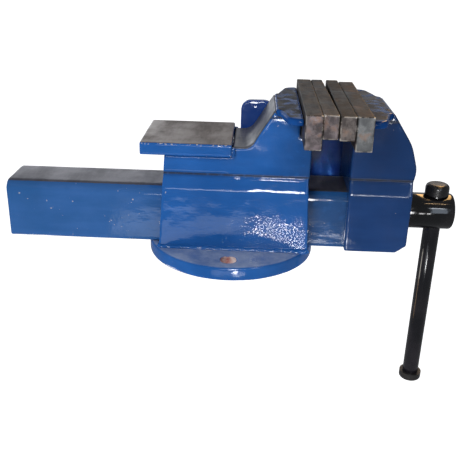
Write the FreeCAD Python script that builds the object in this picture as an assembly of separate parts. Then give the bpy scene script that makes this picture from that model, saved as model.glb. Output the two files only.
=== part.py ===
import FreeCAD, Part
import math
import os

# Bench vise with a square slide. Millimetres, +Z up, +X towards the handle, -Y the operator's left.
# The origin is the centre of the foot's underside. The jaws are modelled closed.

# ---- driving dimensions ----
jaw_length = 200.0            # along Y
jaw_face_x = 110.5            # plane where the two gripping faces meet
jaw_top_z = 191.0
plate_thick = 17.0            # gripping bar, along X
plate_height = 26.0
block_thick = 18.0            # outer bar, along X
block_height = 37.0
face_gap = 0.2                # each gripping face stands back this far from the closing plane

foot_radius = 100.0
foot_thick = 17.0
foot_hole_radius = 9.0
foot_hole_spacing = 156.0     # along Y

slide_half = 35.5
slide_bottom_z = 18.0
slide_top_z = 87.0
slide_corner = 12.0
slide_wall = 8.0
slide_rear_x = -265.0
slide_clearance = 0.4

body_half = 51.0              # half width of the housing and of the moving jaw's lower body
neck_half = 45.5
crease_z = 106.5              # where the necks and the web rise from the rounded shoulders
housing_rear_x = -83.5        # at the foot
housing_front_x = 91.5        # at the foot
housing_rear_top_x = -76.5    # at the anvil's underside
housing_front_top_x = 86.3

anvil_rear_x = -103.0
anvil_half = 52.5
anvil_bottom_z = 129.5
anvil_top_z = 144.0

carrier_bottom_z = 175.0
carrier_top_z = 183.5
carrier_half = 86.0

screw_axis_z = 56.0
screw_radius = 15.0
screw_rear_x = -175.0
bearing_clearance = 0.06      # radial
nut_clearance = 0.08          # radial
head_radius = 21.5
head_front_x = 265.0

bar_radius = 10.0
bar_x = 245.0
bar_clearance = 0.4           # radial
knob_radius = 14.0
knob_top_height = 13.0
knob_bottom_height = 10.0
handle_travel = 207.0

moving_front_x = 133.0
moving_back_x = 205.0
moving_bottom_z = 20.0
slide_front_x = 158.0         # the slide ends here, inside the moving jaw


def vec(x, y, z):
    return FreeCAD.Vector(x, y, z)


def box(x0, x1, y0, y1, z0, z1):
    return Part.makeBox(x1 - x0, y1 - y0, z1 - z0, vec(x0, y0, z0))


def rod_x(radius, x0, x1, y=0.0, z=screw_axis_z):
    return Part.makeCylinder(radius, x1 - x0, vec(x0, y, z), vec(1, 0, 0))


def rod_z(radius, z0, z1, x=0.0, y=0.0):
    return Part.makeCylinder(radius, z1 - z0, vec(x, y, z0), vec(0, 0, 1))


def rounded_outline(corners, place):
    """Closed face from corners (a, b, radius). place(a, b) puts a corner in space."""
    edges = []
    ends = []
    count = len(corners)
    for i in range(count):
        a, b, radius = corners[i]
        here = vec(a, b, 0)
        before = vec(corners[i - 1][0], corners[i - 1][1], 0)
        after = vec(corners[(i + 1) % count][0], corners[(i + 1) % count][1], 0)
        if radius <= 0:
            ends.append((here, here, None))
            continue
        to_before = (before - here).normalize()
        to_after = (after - here).normalize()
        half_angle = to_before.getAngle(to_after) / 2
        reach = radius / math.tan(half_angle)
        middle = (to_before + to_after).normalize()
        centre = here + middle * (radius / math.sin(half_angle))
        top = centre - middle * radius
        ends.append((here + to_before * reach, here + to_after * reach, top))
    for i in range(count):
        start, end, top = ends[i]
        if top is not None:
            arc = Part.Arc(place(start.x, start.y), place(top.x, top.y), place(end.x, end.y))
            edges.append(arc.toShape())
        next_start = ends[(i + 1) % count][0]
        if end.distanceToPoint(next_start) > 1e-6:
            edges.append(Part.makeLine(place(end.x, end.y), place(next_start.x, next_start.y)))
    return Part.Face(Part.Wire(edges))


def side_profile(corners, half_width):
    """Outline in X and Z, as thick as both sides of the middle plane."""
    face = rounded_outline(corners, lambda a, b: vec(a, -half_width, b))
    return face.extrude(vec(0, 2 * half_width, 0))


def end_profile(corners, x0, x1):
    """Outline in Y and Z, along X."""
    face = rounded_outline(corners, lambda a, b: vec(x0, a, b))
    return face.extrude(vec(x1 - x0, 0, 0))


def plan_profile(corners, z0, z1):
    """Outline in X and Y, along Z."""
    face = rounded_outline(corners, lambda a, b: vec(a, b, z0))
    return face.extrude(vec(0, 0, z1 - z0))


def mirrored(half_outline):
    """Corners on +Y, listed from the bottom up, followed by the same corners on -Y."""
    return half_outline + [(-a, b, r) for a, b, r in reversed(half_outline)]


def soften(shape, radius, wanted):
    edges = [edge for edge in shape.Edges if wanted(edge.BoundBox)]
    return shape.makeFillet(radius, edges)


def bevel(shape, size, wanted):
    edges = [edge for edge in shape.Edges if wanted(edge.BoundBox)]
    return shape.makeChamfer(size, edges)


def near(value, target):
    return abs(value - target) < 0.05


# ---- sections shared by several pieces ----

def slide_section(grow=0.0):
    half = slide_half + grow
    return mirrored([
        (half, slide_bottom_z - grow, 0),
        (half, slide_top_z + grow, slide_corner + grow),
    ])


def shoulder_section(bottom_z, top_z):
    """Lower body: upright sides, a leaning shoulder, then the narrower web above the crease."""
    lean_start_z = 90.0
    lean_end_z = crease_z - 2.5
    lean_end_y = neck_half + 1.3
    return mirrored([
        (body_half, bottom_z, 0),
        (body_half, lean_start_z, 7),
        (lean_end_y, lean_end_z, 2.4),
        (neck_half - 0.6, crease_z, 0.8),
        (neck_half, crease_z + 2.5, 0),
        (neck_half, top_z, 0),
    ])


# ---- fixed body ----

nut_rear_x = 12.0
nut_front_x = 62.0
nut_bolt_spots = (24.0, 50.0)
nut_bolt_radius = 6.0
nut_bolt_head_radius = 9.0
nut_bolt_head_depth = 9.0
nut_bolt_top_z = 35.0


def base_flange():
    disc = rod_z(foot_radius, 0, foot_thick)
    disc = soften(disc, 2.0, lambda b: near(b.ZMin, foot_thick) and near(b.ZMax, foot_thick))
    disc = bevel(disc, 1.0, lambda b: near(b.ZMin, 0) and near(b.ZMax, 0) and b.XLength > foot_radius)
    for y in (-foot_hole_spacing / 2, foot_hole_spacing / 2):
        disc = disc.cut(rod_z(foot_hole_radius, -1, foot_thick + 1, 0, y))
    for x in nut_bolt_spots:
        disc = disc.cut(rod_z(nut_bolt_radius + 0.3, -1, foot_thick + 1, x, 0))
        disc = disc.cut(rod_z(nut_bolt_head_radius + 0.5, -1, nut_bolt_head_depth, x, 0))
    return disc


def slide_housing():
    margin = 10.0
    section = end_profile(shoulder_section(foot_thick, anvil_bottom_z),
                          housing_rear_x - margin, housing_front_x + margin)
    # the ends lean in towards the top, and the front gives way to the neck above the crease
    ends = side_profile([
        (housing_rear_x, foot_thick, 0),
        (housing_front_x, foot_thick, 0),
        (housing_front_at(crease_z), crease_z, 0),
        (0.0, crease_z, 0),
        (0.0, anvil_bottom_z, 0),
        (housing_rear_top_x, anvil_bottom_z, 0),
    ], body_half + margin)
    shape = section.common(ends)
    shape = soften(shape, 2.0, is_housing_end_edge)
    bore = end_profile(slide_section(slide_clearance), housing_rear_x - margin, housing_front_x + margin)
    floor = box(housing_rear_x - margin, housing_front_x + margin, -slide_half - slide_clearance,
                slide_half + slide_clearance, foot_thick - 1, slide_bottom_z)
    return shape.cut(bore).cut(floor)


def housing_front_at(z):
    share = (z - foot_thick) / (anvil_bottom_z - foot_thick)
    return housing_front_x + share * (housing_front_top_x - housing_front_x)


def is_housing_end_edge(bounds):
    """The long upright edges of the two end faces, up to the shoulder."""
    upright = near(abs(bounds.YMin), body_half) and near(abs(bounds.YMax), body_half)
    return upright and bounds.ZLength > 40 and bounds.XLength < 8


fixed_neck_front_x = 89.0
neck_flat_z = 139.7           # the neck's low step, just under the anvil's top
slope_foot_x = 19.9           # where the flat would meet the slope without its fillet
slope_top_x = 46.1            # the slope reaches the carrier's top here


def fixed_jaw_neck():
    block_back_x = jaw_face_x - plate_thick - block_thick
    shape = side_profile([
        (0.0, crease_z, 0),
        (0.0, neck_flat_z, 0),
        (slope_foot_x, neck_flat_z, 14),
        (slope_top_x, carrier_top_z, 0),
        (slope_top_x, carrier_bottom_z, 0),
        (block_back_x, carrier_bottom_z, 0),
        (block_back_x, jaw_top_z - block_height, 0),
        (fixed_neck_front_x, jaw_top_z - block_height, 0),
        (fixed_neck_front_x, crease_z, 0),
    ], neck_half)
    return soften(shape, 2.5, is_fixed_neck_edge)


def is_fixed_neck_edge(bounds):
    """Both side edges of the flat and of the slope, and the upright edges of the throat face."""
    on_side = near(abs(bounds.YMin), neck_half) and bounds.YLength < 0.01
    on_top = bounds.XMax < slope_top_x + 0.1 and bounds.ZMin > neck_flat_z - 0.1
    on_top = on_top and bounds.XLength > 0.5
    on_throat = near(bounds.XMin, fixed_neck_front_x) and near(bounds.XMax, fixed_neck_front_x)
    return on_side and (on_top or on_throat)


def anvil_plate():
    shape = box(anvil_rear_x, 0.0, -anvil_half, anvil_half, anvil_bottom_z, anvil_top_z)
    return bevel(shape, 0.8, lambda b: b.XLength > 50 or b.YLength > 50)


side_plate_thick = 9.0
side_plate_rear_x = 6.5
side_plate_front_x = 142.0
side_plate_relief = 1.5       # the part in front of the housing clears the moving jaw by this much
side_plate_bottom_z = 62.0
side_plate_step_z = 138.0     # passes under the jaw bars
side_plate_top_z = 172.0


def side_plate():
    outline = [
        (side_plate_rear_x, side_plate_bottom_z, 8),
        (side_plate_rear_x, side_plate_top_z, 12),
        (42.0, side_plate_top_z, 14),
        (64.0, side_plate_step_z, 14),
        (side_plate_front_x, side_plate_step_z, 10),
        (side_plate_front_x, side_plate_bottom_z, 8),
    ]
    face = rounded_outline(outline, lambda a, b: vec(a, body_half, b))
    shape = face.extrude(vec(0, side_plate_thick, 0))
    near_y = body_half + side_plate_relief
    shape = shape.cut(box(housing_front_x, side_plate_front_x + 1, body_half - 1, near_y, 0, side_plate_top_z))
    return bevel(shape, 5.0, lambda b: near(b.XMin, side_plate_front_x) and near(b.XMax, side_plate_front_x)
                 and near(b.YMax, near_y))


def screw_nut():
    shape = box(nut_rear_x, nut_front_x, -22.0, 22.0, foot_thick, 77.0)
    shape = soften(shape, 8.0, lambda b: b.XLength > 40 and near(b.ZMin, 77.0))
    shape = shape.cut(rod_x(screw_radius + nut_clearance, nut_rear_x - 1, nut_front_x + 1))
    for x in nut_bolt_spots:
        shape = shape.cut(rod_z(nut_bolt_radius, foot_thick - 1, nut_bolt_top_z, x, 0))
    return shape


def hex_socket(width, depth):
    """Six-sided pocket along +Z from the origin."""
    reach = width / math.sqrt(3)
    points = [vec(reach * math.cos(math.radians(60 * i)), reach * math.sin(math.radians(60 * i)), 0)
              for i in range(7)]
    return Part.Face(Part.makePolygon(points)).extrude(vec(0, 0, depth))


def socket_screw(shank_radius, length, head_radius_here, head_height, socket_width):
    """Cap screw along +Z: the head's outer face lies at 0 and the shank points up."""
    head = rod_z(head_radius_here, 0, head_height)
    head = bevel(head, 0.6, lambda b: near(b.ZMin, 0) and near(b.ZMax, 0))
    shank = rod_z(shank_radius, head_height - 0.5, length)
    shank = bevel(shank, 0.8, lambda b: near(b.ZMin, length) and near(b.ZMax, length))
    return head.fuse(shank).removeSplitter().cut(hex_socket(socket_width, head_height * 0.6))


def nut_bolts():
    bolt = socket_screw(nut_bolt_radius, nut_bolt_top_z - 1.0, nut_bolt_head_radius,
                        nut_bolt_head_depth - 0.5, 10.0)
    bolts = []
    for x in nut_bolt_spots:
        placed = bolt.copy()
        placed.translate(vec(x, 0, 0.5))
        bolts.append(placed)
    return Part.makeCompound(bolts)


# ---- jaws: side is -1 for the fixed jaw and +1 for the moving one ----

jaw_screw_spots = (-66.0, 0.0, 66.0)
jaw_screw_z = jaw_top_z - plate_height / 2
jaw_screw_radius = 5.0
jaw_screw_head_radius = 8.0
jaw_screw_head_depth = 8.0
jaw_screw_length = 31.0


def jaw_x(side, distance):
    return jaw_face_x + side * distance


def across(side, near_distance, far_distance, half_width, z0, z1):
    ends = sorted((jaw_x(side, near_distance), jaw_x(side, far_distance)))
    return box(ends[0], ends[1], -half_width, half_width, z0, z1)


def hole_from_face(side, radius, start, end, y):
    ends = sorted((jaw_x(side, start), jaw_x(side, end)))
    return rod_x(radius, ends[0], ends[1], y, jaw_screw_z)


def jaw_plate(side):
    shape = across(side, face_gap, plate_thick, jaw_length / 2, jaw_top_z - plate_height, jaw_top_z)
    shape = bevel(shape, 0.8, lambda b: b.YLength > 100 or b.ZLength > 20 or b.XLength > 10)
    for y in jaw_screw_spots:
        shape = shape.cut(hole_from_face(side, jaw_screw_radius + 0.3, -1, plate_thick + 1, y))
        shape = shape.cut(hole_from_face(side, jaw_screw_head_radius + 0.4, -1, jaw_screw_head_depth + 1, y))
    return shape


def jaw_block(side):
    shape = across(side, plate_thick, plate_thick + block_thick, jaw_length / 2,
                   jaw_top_z - block_height, jaw_top_z)
    shape = bevel(shape, 0.8, lambda b: b.YLength > 100 or b.ZLength > 20 or b.XLength > 10)
    for y in jaw_screw_spots:
        shape = shape.cut(hole_from_face(side, jaw_screw_radius, plate_thick - 1, jaw_screw_length + 2, y))
    return shape


def jaw_screws(side):
    screw = socket_screw(jaw_screw_radius, jaw_screw_length, jaw_screw_head_radius,
                         jaw_screw_head_depth, 8.0)
    screws = []
    for y in jaw_screw_spots:
        placed = screw.copy()
        placed.rotate(vec(0, 0, 0), vec(0, 1, 0), 90 * side)
        placed.translate(vec(jaw_x(side, 1.0), y, jaw_screw_z))
        screws.append(placed)
    return Part.makeCompound(screws)


def jaw_carrier(side):
    """Plate over the neck that spreads into two rounded lobes behind the jaw's bar."""
    back = plate_thick + block_thick
    rear = jaw_face_x - slope_top_x
    half_outline = [
        (back, carrier_half + 0.5, 0),
        (rear - 14.0, carrier_half, 12),
        (rear - 3.9, neck_half + 1.0, 3),
        (rear, neck_half - 1.5, 0),
    ]
    corners = half_outline + [(a, -b, r) for a, b, r in reversed(half_outline)]
    placed = [(jaw_x(side, a), b, r) for a, b, r in corners]
    shape = plan_profile(placed, carrier_bottom_z, carrier_top_z)

    def is_lobe_rim(bounds):
        level = near(bounds.ZMin, bounds.ZMax)
        clear_of_bar = abs(bounds.Center.x - jaw_face_x) > back + 0.5
        outside_neck = max(abs(bounds.YMin), abs(bounds.YMax)) > neck_half + 1.5
        return level and clear_of_bar and outside_neck

    return soften(shape, 3.0, is_lobe_rim)


# ---- moving jaw ----

bush_radius = 20.0


def slide_bar():
    outer = end_profile(slide_section(), slide_rear_x, slide_front_x)
    inside = mirrored([
        (slide_half - slide_wall, slide_bottom_z - 1, 0),
        (slide_half - slide_wall, slide_top_z - slide_wall, 5),
    ])
    shape = outer.cut(end_profile(inside, slide_rear_x - 1, slide_front_x + 1))
    shape = bevel(shape, 1.0, is_slide_end_edge)
    return shape


def is_slide_end_edge(bounds):
    """Outer edges of the rear end face."""
    at_end = near(bounds.XMin, slide_rear_x) and near(bounds.XMax, slide_rear_x)
    outside = max(abs(bounds.YMin), abs(bounds.YMax)) > slide_half - 0.1
    on_top = near(bounds.ZMin, slide_top_z) and near(bounds.ZMax, slide_top_z)
    return at_end and (outside and bounds.ZMax > slide_bottom_z + 5 or on_top)


def moving_jaw_base():
    margin = 10.0
    section = end_profile(shoulder_section(moving_bottom_z, crease_z), moving_front_x - margin,
                          moving_back_x + margin)
    ends = side_profile([
        (moving_front_x, moving_bottom_z, 5),
        (moving_back_x - 12.0, moving_bottom_z, 0),
        (moving_back_x, moving_bottom_z + 9.0, 0),
        (moving_back_x, crease_z, 0),
        (moving_front_x, crease_z, 0),
    ], body_half + margin)
    shape = section.common(ends)
    shape = soften(shape, 2.0, is_moving_end_edge)
    shape = shape.cut(end_profile(slide_section(), moving_front_x - margin, slide_front_x))
    shape = shape.cut(box(moving_front_x - margin, slide_front_x, -slide_half, slide_half,
                          slide_bottom_z - margin, moving_bottom_z + 1))
    return shape.cut(rod_x(bush_radius, slide_front_x - 1, moving_back_x + 1))


def is_moving_end_edge(bounds):
    upright = near(abs(bounds.YMin), body_half) and near(abs(bounds.YMax), body_half)
    return upright and bounds.ZLength > 40 and bounds.XLength < 1


def moving_jaw_neck():
    block_back_x = jaw_face_x + plate_thick + block_thick
    block_bottom_z = jaw_top_z - block_height
    slope_top = 2 * jaw_face_x - slope_top_x
    shape = side_profile([
        (moving_front_x + 0.5, crease_z, 0),
        (moving_front_x + 0.5, block_bottom_z, 0),
        (block_back_x, block_bottom_z, 0),
        (block_back_x, carrier_bottom_z, 0),
        (slope_top, carrier_bottom_z, 0),
        (slope_top, carrier_top_z, 0),
        (moving_back_x - 5.5, 147.0, 50),
        (moving_back_x + 3.0, 118.0, 30),
        (moving_back_x, crease_z, 0),
    ], neck_half)
    return soften(shape, 2.5, is_moving_neck_edge)


def is_moving_neck_edge(bounds):
    on_side = near(abs(bounds.YMin), neck_half) and bounds.YLength < 0.01
    on_back = bounds.XMin > moving_back_x - 35 and bounds.ZLength > 0.5
    return on_side and on_back and bounds.XLength > 0.2


def screw_bush():
    shape = rod_x(bush_radius, slide_front_x, moving_back_x)
    return shape.cut(rod_x(screw_radius + bearing_clearance, slide_front_x - 1, moving_back_x + 1))


# ---- main screw ----

washer_back_x = moving_back_x + 0.3
head_back_x = washer_back_x + 2.7
shaft_front_x = 226.0
collar_rear_x = 146.5
collar_front_x = 156.0
collar_radius = 22.0
collar_pin_radius = 3.0


def collar_pin_x():
    return (collar_rear_x + collar_front_x) / 2


def screw_shaft():
    shape = rod_x(screw_radius, screw_rear_x, shaft_front_x)
    shape = bevel(shape, 2.5, lambda b: near(b.XMin, screw_rear_x) and near(b.XMax, screw_rear_x))
    return shape.cut(rod_z(collar_pin_radius, screw_axis_z - 30, screw_axis_z + 30, collar_pin_x(), 0))


def screw_head():
    shape = rod_x(head_radius, head_back_x, head_front_x)
    shape = bevel(shape, 3.0, lambda b: near(b.XMin, head_front_x) and near(b.XMax, head_front_x))
    shape = soften(shape, 1.5, lambda b: near(b.XMin, head_back_x) and near(b.XMax, head_back_x))
    shape = shape.cut(rod_x(screw_radius, head_back_x - 1, shaft_front_x))
    return shape.cut(rod_z(bar_radius + bar_clearance, screw_axis_z - 40, screw_axis_z + 40, bar_x, 0))


def ring(inner, outer, x0, x1):
    return rod_x(outer, x0, x1).cut(rod_x(inner, x0 - 1, x1 + 1))


def thrust_washer():
    return ring(screw_radius, head_radius - 1.0, washer_back_x, head_back_x)


def spring_washer():
    return ring(screw_radius, collar_radius - 1.5, collar_front_x, slide_front_x - 0.5)


def retaining_collar():
    shape = ring(screw_radius, collar_radius, collar_rear_x, collar_front_x)
    return shape.cut(rod_z(collar_pin_radius, screw_axis_z - 30, screw_axis_z + 30, collar_pin_x(), 0))


def collar_pin():
    return rod_z(collar_pin_radius, screw_axis_z - 21.5, screw_axis_z + 21.5, collar_pin_x(), 0)


# ---- handle ----

knob_seat_z = screw_axis_z + head_radius + 0.2        # underside of the top knob at rest
bar_bottom_z = screw_axis_z - head_radius - 0.2 - handle_travel - knob_bottom_height
bar_spigot = 7.0              # how far the bar reaches into each knob


def handle_bar():
    return rod_z(bar_radius, bar_bottom_z + knob_bottom_height - bar_spigot, knob_seat_z + bar_spigot, bar_x, 0)


def handle_knob_top():
    top = knob_seat_z + knob_top_height
    shape = rod_z(knob_radius, knob_seat_z, top, bar_x, 0)
    shape = soften(shape, 5.0, lambda b: near(b.ZMin, top) and b.XLength > 20)
    shape = bevel(shape, 1.0, lambda b: near(b.ZMax, knob_seat_z) and b.XLength > 20)
    return shape.cut(rod_z(bar_radius, knob_seat_z - 1, knob_seat_z + bar_spigot, bar_x, 0))


def handle_knob_bottom():
    top = bar_bottom_z + knob_bottom_height
    shape = rod_z(knob_radius, bar_bottom_z, top, bar_x, 0)
    shape = soften(shape, 3.0, lambda b: near(b.ZMax, bar_bottom_z) and b.XLength > 20)
    shape = bevel(shape, 1.0, lambda b: near(b.ZMin, top) and b.XLength > 20)
    return shape.cut(rod_z(bar_radius, top - bar_spigot, top + 1, bar_x, 0))


pieces = {
    "base_flange": base_flange,
    "slide_housing": slide_housing,
    "fixed_jaw_neck": fixed_jaw_neck,
    "anvil_plate": anvil_plate,
    "side_plate": side_plate,
    "fixed_jaw_carrier": lambda: jaw_carrier(-1),
    "fixed_jaw_block": lambda: jaw_block(-1),
    "fixed_jaw_plate": lambda: jaw_plate(-1),
    "fixed_jaw_screws": lambda: jaw_screws(-1),
    "screw_nut": screw_nut,
    "nut_bolts": nut_bolts,
    "slide_bar": slide_bar,
    "moving_jaw_base": moving_jaw_base,
    "moving_jaw_neck": moving_jaw_neck,
    "moving_jaw_carrier": lambda: jaw_carrier(1),
    "moving_jaw_block": lambda: jaw_block(1),
    "moving_jaw_plate": lambda: jaw_plate(1),
    "moving_jaw_screws": lambda: jaw_screws(1),
    "screw_bush": screw_bush,
    "screw_shaft": screw_shaft,
    "screw_head": screw_head,
    "thrust_washer": thrust_washer,
    "spring_washer": spring_washer,
    "retaining_collar": retaining_collar,
    "collar_pin": collar_pin,
    "handle_bar": handle_bar,
    "handle_knob_top": handle_knob_top,
    "handle_knob_bottom": handle_knob_bottom,
}

os.makedirs("parts", exist_ok=True)
for name, make in pieces.items():
    shape = make()
    bounds = shape.BoundBox
    print(name, shape.ShapeType, len(shape.Solids), shape.isValid(), round(shape.Volume / 1000, 1), "cm3",
          [round(value, 1) for value in (bounds.XMin, bounds.XMax, bounds.YMin, bounds.YMax,
                                         bounds.ZMin, bounds.ZMax)])
    shape.exportStep("parts/" + name + ".step")
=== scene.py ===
import math

import bmesh
import bpy
from mathutils import Euler, Matrix, Vector


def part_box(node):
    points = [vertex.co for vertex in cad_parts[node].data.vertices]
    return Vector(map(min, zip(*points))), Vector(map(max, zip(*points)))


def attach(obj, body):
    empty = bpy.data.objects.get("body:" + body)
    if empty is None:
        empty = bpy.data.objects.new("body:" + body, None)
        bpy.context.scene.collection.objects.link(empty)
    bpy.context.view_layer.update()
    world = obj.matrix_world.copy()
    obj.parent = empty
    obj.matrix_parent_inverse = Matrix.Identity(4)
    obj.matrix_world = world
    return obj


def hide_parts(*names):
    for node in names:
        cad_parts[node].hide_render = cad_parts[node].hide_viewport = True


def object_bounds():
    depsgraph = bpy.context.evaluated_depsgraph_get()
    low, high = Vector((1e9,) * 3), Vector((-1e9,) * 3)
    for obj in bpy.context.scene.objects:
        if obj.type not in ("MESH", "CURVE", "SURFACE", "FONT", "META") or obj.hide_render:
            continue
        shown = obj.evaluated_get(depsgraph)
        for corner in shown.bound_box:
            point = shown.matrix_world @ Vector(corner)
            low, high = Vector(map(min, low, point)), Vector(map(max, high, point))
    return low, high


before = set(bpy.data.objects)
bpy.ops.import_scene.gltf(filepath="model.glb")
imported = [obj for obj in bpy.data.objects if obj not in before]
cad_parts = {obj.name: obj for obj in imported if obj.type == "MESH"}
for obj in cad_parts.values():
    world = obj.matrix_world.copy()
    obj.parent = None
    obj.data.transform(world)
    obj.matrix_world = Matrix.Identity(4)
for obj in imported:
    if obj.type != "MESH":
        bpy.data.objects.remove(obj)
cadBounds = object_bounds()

mm = 0.001


# small modelling helpers

def deselectAll():
    bpy.ops.object.select_all(action="DESELECT")


def makeActive(piece):
    deselectAll()
    piece.select_set(True)
    bpy.context.view_layer.objects.active = piece


def settle(piece):
    # the place goes into the mesh, so the object itself stays at the origin
    makeActive(piece)
    bpy.ops.object.transform_apply(location=True, rotation=True, scale=True)
    return piece


def addBlock(name, low, high):
    deselectAll()
    bpy.ops.mesh.primitive_cube_add(size=1, location=(Vector(low) + Vector(high)) / 2)
    piece = bpy.context.object
    piece.name = name
    piece.scale = Vector(high) - Vector(low)
    return settle(piece)


def addRound(name, radius, start, end, axis, sides=64):
    # a cylinder between two points on a line along X, Y or Z
    turn = {"X": (0, math.pi / 2, 0), "Y": (math.pi / 2, 0, 0), "Z": (0, 0, 0)}[axis]
    deselectAll()
    bpy.ops.mesh.primitive_cylinder_add(vertices=sides, radius=radius, rotation=turn,
                                        depth=(Vector(end) - Vector(start)).length,
                                        location=(Vector(start) + Vector(end)) / 2)
    piece = bpy.context.object
    piece.name = name
    return settle(piece)


def roundCorners(corners, steps=8):
    # corners are (a, b, radius); each radius becomes an arc that meets both runs
    points = []
    for i, (a, b, radius) in enumerate(corners):
        here = Vector((a, b))
        before = (Vector(corners[i - 1][:2]) - here).normalized()
        after = (Vector(corners[(i + 1) % len(corners)][:2]) - here).normalized()
        if radius <= 0:
            points.append(here)
            continue
        half = before.angle(after) / 2
        middle = (before + after).normalized()
        centre = here + middle * radius / math.sin(half)
        first = here + before * radius / math.tan(half) - centre
        last = here + after * radius / math.tan(half) - centre
        sweep = first.angle_signed(last)
        for step in range(steps + 1):
            turned = first.copy()
            turned.rotate(Matrix.Rotation(-sweep * step / steps, 2))
            points.append(centre + turned)
    return points


def traceOutline(name, corners, place, push):
    # one vertex is extruded from corner to corner, the loop is filled, and the face is pushed out
    points = [Vector(place(p.x, p.y)) for p in roundCorners(corners)]
    deselectAll()
    bpy.ops.mesh.primitive_plane_add(size=mm, location=points[0])
    piece = bpy.context.object
    piece.name = name
    bpy.ops.object.mode_set(mode="EDIT")
    bpy.ops.mesh.merge(type="CENTER")
    for before, here in zip(points, points[1:]):
        bpy.ops.mesh.extrude_vertices_move(TRANSFORM_OT_translate={"value": here - before})
    bpy.ops.mesh.select_all(action="SELECT")
    bpy.ops.mesh.edge_face_add()
    bpy.ops.mesh.extrude_region_move(TRANSFORM_OT_translate={"value": push})
    bpy.ops.mesh.select_all(action="SELECT")
    bpy.ops.mesh.normals_make_consistent(inside=False)
    bpy.ops.object.mode_set(mode="OBJECT")
    return settle(piece)


def applyModifier(piece, kind, **settings):
    makeActive(piece)
    modifier = piece.modifiers.new(kind.lower(), kind)
    for key, value in settings.items():
        setattr(modifier, key, value)
    bpy.ops.object.modifier_apply(modifier=modifier.name)


def cutAway(piece, cutter):
    applyModifier(piece, "BOOLEAN", operation="DIFFERENCE", object=cutter, solver="EXACT")
    bpy.data.objects.remove(cutter)


def easeEdges(piece, width, segments=3, angle=30):
    applyModifier(piece, "BEVEL", width=width, segments=segments, limit_method="ANGLE",
                  angle_limit=math.radians(angle), harden_normals=False)


def shadeSmooth(piece, angle=35):
    makeActive(piece)
    bpy.ops.object.shade_smooth_by_angle(angle=math.radians(angle))


def cut(piece, point, normal):
    # everything in front of the plane is taken off and the cut is filled
    makeActive(piece)
    bpy.ops.object.mode_set(mode="EDIT")
    bpy.ops.mesh.select_all(action="SELECT")
    bpy.ops.mesh.bisect(plane_co=point, plane_no=normal, use_fill=True, clear_outer=True)
    bpy.ops.object.mode_set(mode="OBJECT")


def markVertices(piece, name, amount):
    # amount(place, normal) gives every vertex a share from 0 to 1 that the finish reads
    layer = piece.data.attributes.new(name, "FLOAT", "POINT")
    for vertex, item in zip(piece.data.vertices, layer.data):
        item.value = amount(vertex.co, vertex.normal)


def fade(value, start, end):
    return min(1.0, max(0.0, (value - start) / (end - start)))


def dip(piece, grain, sag, sagSize, seed, rounds=4):
    # an even skin of small faces, softened at its edges and pushed in and out like brushed enamel
    applyModifier(piece, "REMESH", mode="VOXEL", voxel_size=grain)
    applyModifier(piece, "SMOOTH", factor=0.6, iterations=rounds)
    texture = bpy.data.textures.new(piece.name + "Sag", "CLOUDS")
    texture.noise_scale = sagSize
    texture.noise_depth = 2
    shift = bpy.data.objects.new(piece.name + "Shift", None)
    shift.location = (seed, 0, 0)
    bpy.context.collection.objects.link(shift)
    bpy.context.view_layer.update()
    applyModifier(piece, "DISPLACE", texture=texture, texture_coords="OBJECT",
                  texture_coords_object=shift, strength=sag, mid_level=0.75)
    bpy.data.objects.remove(shift)
    bpy.data.textures.remove(texture)
    makeActive(piece)
    bpy.ops.object.shade_smooth()


# finishes

class Reading:
    # one socket of a finish; arithmetic on it adds Math nodes
    def __init__(self, finish, socket):
        self.finish = finish
        self.socket = socket

    def sum(self, operation, first, second):
        return self.finish.add("ShaderNodeMath", {"operation": operation}, first, second)

    def __add__(self, other):
        return self.sum("ADD", self, other)

    __radd__ = __add__

    def __mul__(self, other):
        return self.sum("MULTIPLY", self, other)

    __rmul__ = __mul__

    def __sub__(self, other):
        return self.sum("SUBTRACT", self, other)

    def __rsub__(self, other):
        return self.sum("SUBTRACT", other, self)

    def larger(self, other):
        return self.sum("MAXIMUM", self, other)


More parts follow.
